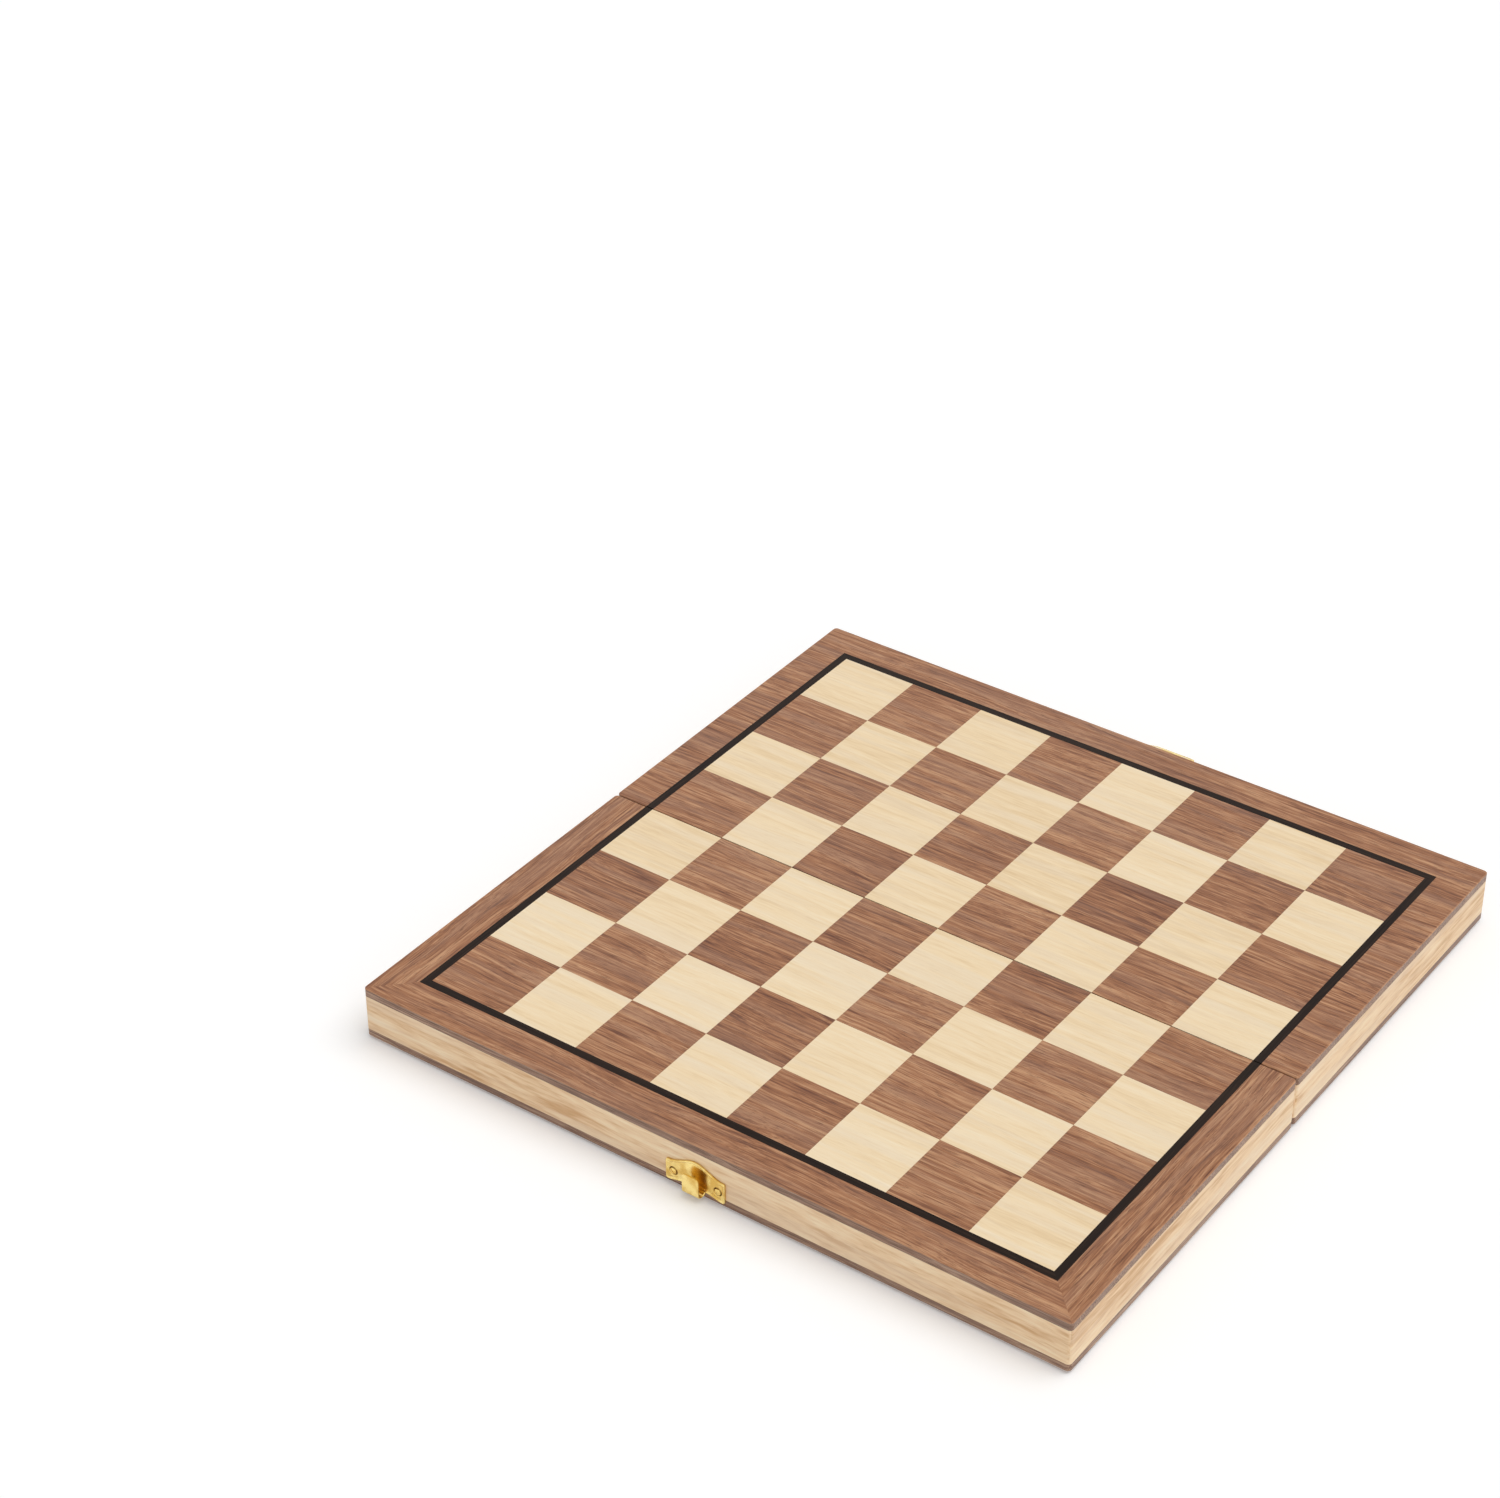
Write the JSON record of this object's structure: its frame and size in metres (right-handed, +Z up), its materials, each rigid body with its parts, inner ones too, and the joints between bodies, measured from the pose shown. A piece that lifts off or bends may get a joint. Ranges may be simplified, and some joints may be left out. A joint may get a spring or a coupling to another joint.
{
  "type": "folding chess board",
  "caption": "Hinged wooden chess board with an inlaid play surface that folds into a flat storage case held shut by a brass hasp.",
  "frame": {"origin": "on the table plane, under the middle of the fold line of the open board", "axes": "+X along the fold, +Y from the catch edge towards the hasp edge, +Z up out of the play surface"},
  "size_m": [0.381, 0.4217, 0.0287],
  "materials": {
    "wall_wood": "satin lacquer on pale softwood",
    "rim_walnut": "satin lacquer on walnut",
    "panel_edge": "satin lacquer on walnut edging",
    "border_veneer": "satin lacquer on walnut veneer",
    "inlay_line": "satin lacquer on near black veneer",
    "dark_veneer": "satin lacquer on walnut veneer",
    "light_veneer": "satin lacquer on maple veneer",
    "felt_lining": "short pile felt",
    "brass": "polished brass plate"
  },
  "bodies": {
    "near_half": {"near_front_wall": "wall_wood", "near_front_rim": "rim_walnut", "near_fold_wall": "wall_wood", "near_fold_rim": "rim_walnut", "near_left_wall": "wall_wood", "near_left_rim": "rim_walnut", "near_right_wall": "wall_wood", "near_right_rim": "rim_walnut", "near_panel": "panel_edge", "near_front_border": "border_veneer", "near_front_inlay": "inlay_line", "near_left_border": "border_veneer", "near_left_inlay": "inlay_line", "near_right_border": "border_veneer", "near_right_inlay": "inlay_line", "near_dark_squares": "dark_veneer", "near_light_squares": "light_veneer", "near_felt": "felt_lining", "near_hinge_screws": "brass", "hinge_left_near_leaf": "brass", "hinge_right_near_leaf": "brass", "hinge_left_pin": "brass", "hinge_right_pin": "brass", "catch_plate": "brass", "catch_screws": "brass"},
    "far_half": {"far_back_wall": "wall_wood", "far_back_rim": "rim_walnut", "far_fold_wall": "wall_wood", "far_fold_rim": "rim_walnut", "far_left_wall": "wall_wood", "far_left_rim": "rim_walnut", "far_right_wall": "wall_wood", "far_right_rim": "rim_walnut", "far_panel": "panel_edge", "far_back_border": "border_veneer", "far_back_inlay": "inlay_line", "far_left_border": "border_veneer", "far_left_inlay": "inlay_line", "far_right_border": "border_veneer", "far_right_inlay": "inlay_line", "far_dark_squares": "dark_veneer", "far_light_squares": "light_veneer", "far_felt": "felt_lining", "far_hinge_screws": "brass", "hinge_left_far_leaf": "brass", "hinge_right_far_leaf": "brass", "hasp_base": "brass", "hasp_base_screws": "brass", "hasp_pin": "brass"},
    "hasp": {"hasp_frame": "brass"}
  },
  "joints": [
    {"name": "fold", "type": "hinge", "parent": "near_half", "child": "far_half", "pos_m": [0, 0, 0.0015], "axis": [-1, 0, 0], "range_deg": [0, 180]},
    {"name": "hasp_swing", "type": "hinge", "parent": "far_half", "child": "hasp", "pos_m": [0, 0.1926, 0.0215], "axis": [-1, 0, 0], "range_deg": [-48.4, 56.6]}
  ]
}
